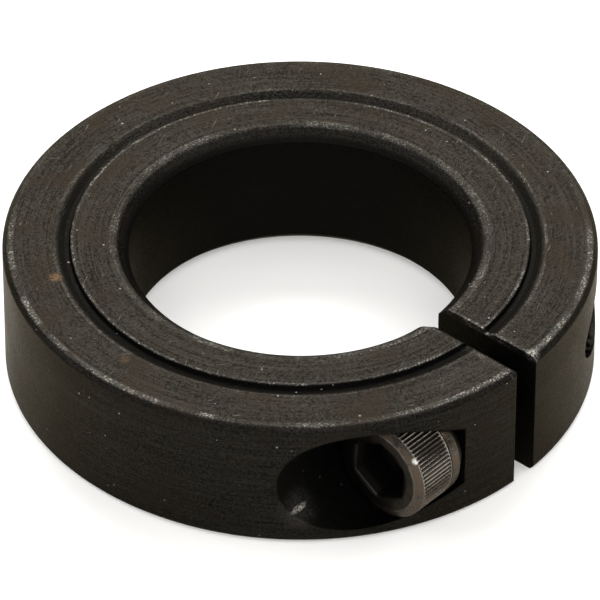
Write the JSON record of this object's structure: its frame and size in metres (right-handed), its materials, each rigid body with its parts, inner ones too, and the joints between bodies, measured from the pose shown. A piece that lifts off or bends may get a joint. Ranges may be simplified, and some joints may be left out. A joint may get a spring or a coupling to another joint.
{
  "type": "shaft collar",
  "caption": "Clamping shaft collar: black steel ring with a radial slit, a shallow face groove and a socket head cap screw that draws the slit closed round a shaft.",
  "frame": {"origin": "on the bore's axis at the plane of the lower face, which is the middle of the bottom of the whole part's box", "axes": "+Z along the bore towards the grooved face; the slit is at -Y and the screw lies along X with its head on the -X side"},
  "size_m": [0.0524, 0.0524, 0.0127],
  "materials": {
    "ring_steel": "black oxide over fine turning marks, satin, edges worn lighter",
    "screw_steel": "thin black oxide gone brown, straight knurl, satin"
  },
  "bodies": {
    "threaded_jaw": {"ring_thread_side": "ring_steel"},
    "screw_jaw": {"ring_head_side": "ring_steel"},
    "clamp_screw": {"cap_screw": "screw_steel"}
  },
  "joints": [
    {"name": "ring_flex", "type": "hinge", "parent": "threaded_jaw", "child": "screw_jaw", "pos_m": [0, 0.02064, 0.00635], "axis": [0, 0, 1], "range_deg": [0, 0.94]},
    {"name": "screw_turn", "type": "hinge", "parent": "screw_jaw", "child": "clamp_screw", "pos_m": [-0.0071, -0.021, 0.00635], "axis": [1, 0, 0], "range_deg": [0, 270]}
  ],
  "couplings": [
    {"joint": "ring_flex", "follows": "screw_turn", "ratio": 0.0034675}
  ]
}
